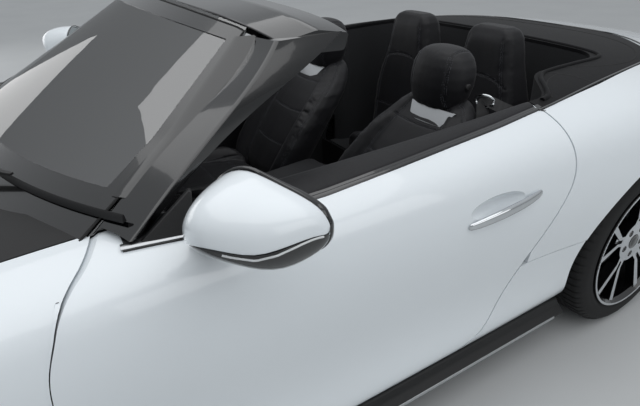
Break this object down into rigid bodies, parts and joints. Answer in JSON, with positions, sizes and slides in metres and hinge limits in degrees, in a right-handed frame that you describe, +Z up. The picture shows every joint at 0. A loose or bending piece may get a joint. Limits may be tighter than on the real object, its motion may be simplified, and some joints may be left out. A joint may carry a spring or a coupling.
{
  "type": "roadster convertible",
  "caption": "Low two-plus-two roadster with its soft top stowed under a horseshoe cover, opening doors, bonnet and boot lid, steered front wheels.",
  "frame": {"origin": "on the floor at the middle of the car's length and width", "axes": "+X to the car's left, +Y to its rear, +Z up"},
  "size_m": [2.2132, 4.7, 1.3235],
  "materials": {
    "white_paint": "gloss clear-coated white",
    "shadow_grey_paint": "dull grey primer and underseal",
    "satin_black_plastic": "fine grained",
    "gloss_black_plastic": "high gloss",
    "lamp_clear": "clear lens",
    "lamp_red": "red lens",
    "screen_glass": "laminated, faint green",
    "black_fabric": "woven hood cloth",
    "black_leather": "smooth grain",
    "black_trim": "soft-touch moulding",
    "wheel_leather": "perforated grip leather",
    "cast_engine": "cast",
    "tail_steel": "polished tips",
    "arm_aluminium": "forged",
    "bright_chrome": "bright plated",
    "tyre_rubber": "black rubber",
    "black_rim": "gloss black with machined faces",
    "disc_iron": "ground faces"
  },
  "bodies": {
    "chassis": {"body_tub": "shadow_grey_paint", "front_structure": "shadow_grey_paint", "rear_structure": "shadow_grey_paint", "fenders": "white_paint", "front_bumper": "white_paint", "quarter_panels": "white_paint", "rear_bumper": "white_paint", "sills": "white_paint", "side_skirts": "satin_black_plastic", "diffuser": "satin_black_plastic", "cowl": "satin_black_plastic", "grille": "gloss_black_plastic", "headlamps": "lamp_clear", "tail_lamps": "lamp_red", "windscreen_frame": "gloss_black_plastic", "windscreen_glass": "screen_glass", "stowed_top": "black_fabric", "front_seats": "black_leather", "rear_seats": "black_leather", "dashboard": "black_trim", "console": "black_trim", "engine": "cast_engine", "exhaust": "tail_steel", "suspension": "arm_aluminium", "wipers": "satin_black_plastic"},
    "bonnet": {"bonnet": "white_paint"},
    "boot_lid": {"boot_lid": "white_paint"},
    "steering_wheel": {"steering_wheel": "wheel_leather"},
    "door_left": {"door_left": "white_paint", "mirror_left": "white_paint", "handle_left": "bright_chrome"},
    "door_right": {"door_right": "white_paint", "mirror_right": "white_paint", "handle_right": "bright_chrome"},
    "steered_left": {"knuckle_front_left": "arm_aluminium"},
    "steered_right": {"knuckle_front_right": "arm_aluminium"},
    "wheel_front_left": {"tyre_front_left": "tyre_rubber", "rim_front_left": "black_rim", "brake_disc_front_left": "disc_iron"},
    "wheel_rear_left": {"tyre_rear_left": "tyre_rubber", "rim_rear_left": "black_rim", "brake_disc_rear_left": "disc_iron"},
    "wheel_front_right": {"tyre_front_right": "tyre_rubber", "rim_front_right": "black_rim", "brake_disc_front_right": "disc_iron"},
    "wheel_rear_right": {"tyre_rear_right": "tyre_rubber", "rim_rear_right": "black_rim", "brake_disc_rear_right": "disc_iron"}
  },
  "joints": [
    {"name": "bonnet_hinge", "type": "hinge", "parent": "chassis", "child": "bonnet", "pos_m": [0, -0.925, 0.905], "axis": [-1, 0, 0], "range_deg": [0, 50]},
    {"name": "boot_lid_hinge", "type": "hinge", "parent": "chassis", "child": "boot_lid", "pos_m": [0, 1.812, 0.945], "axis": [1, 0, 0], "range_deg": [0, 75]},
    {"name": "door_left_hinge", "type": "hinge", "parent": "chassis", "child": "door_left", "pos_m": [0.876, -0.674, 0.6], "axis": [0, 0, -1], "range_deg": [0, 65]},
    {"name": "door_right_hinge", "type": "hinge", "parent": "chassis", "child": "door_right", "pos_m": [-0.876, -0.674, 0.6], "axis": [0, 0, 1], "range_deg": [0, 65]},
    {"name": "steer_left", "type": "hinge", "parent": "chassis", "child": "steered_left", "pos_m": [0.742, -1.438, 0.357], "axis": [0, 0, 1], "range_deg": [-35, 35]},
    {"name": "steer_right", "type": "hinge", "parent": "chassis", "child": "steered_right", "pos_m": [-0.742, -1.438, 0.357], "axis": [0, 0, 1], "range_deg": [-35, 35]},
    {"name": "wheel_front_left_spin", "type": "hinge", "parent": "steered_left", "child": "wheel_front_left", "pos_m": [0.816, -1.438, 0.357], "axis": [1, 0, 0], "continuous": true},
    {"name": "wheel_rear_left_spin", "type": "hinge", "parent": "chassis", "child": "wheel_rear_left", "pos_m": [0.803, 1.262, 0.357], "axis": [1, 0, 0], "continuous": true},
    {"name": "wheel_front_right_spin", "type": "hinge", "parent": "steered_right", "child": "wheel_front_right", "pos_m": [-0.816, -1.438, 0.357], "axis": [1, 0, 0], "continuous": true},
    {"name": "wheel_rear_right_spin", "type": "hinge", "parent": "chassis", "child": "wheel_rear_right", "pos_m": [-0.803, 1.262, 0.357], "axis": [1, 0, 0], "continuous": true},
    {"name": "steering_wheel_turn", "type": "hinge", "parent": "chassis", "child": "steering_wheel", "pos_m": [-0.38, -0.04, 0.885], "axis": [0, 0.9135, 0.4067], "range_deg": [-455, 455]}
  ],
  "couplings": [
    {"joint": "steer_right", "follows": "steer_left", "ratio": 1},
    {"joint": "steering_wheel_turn", "follows": "steer_left", "ratio": 13}
  ]
}
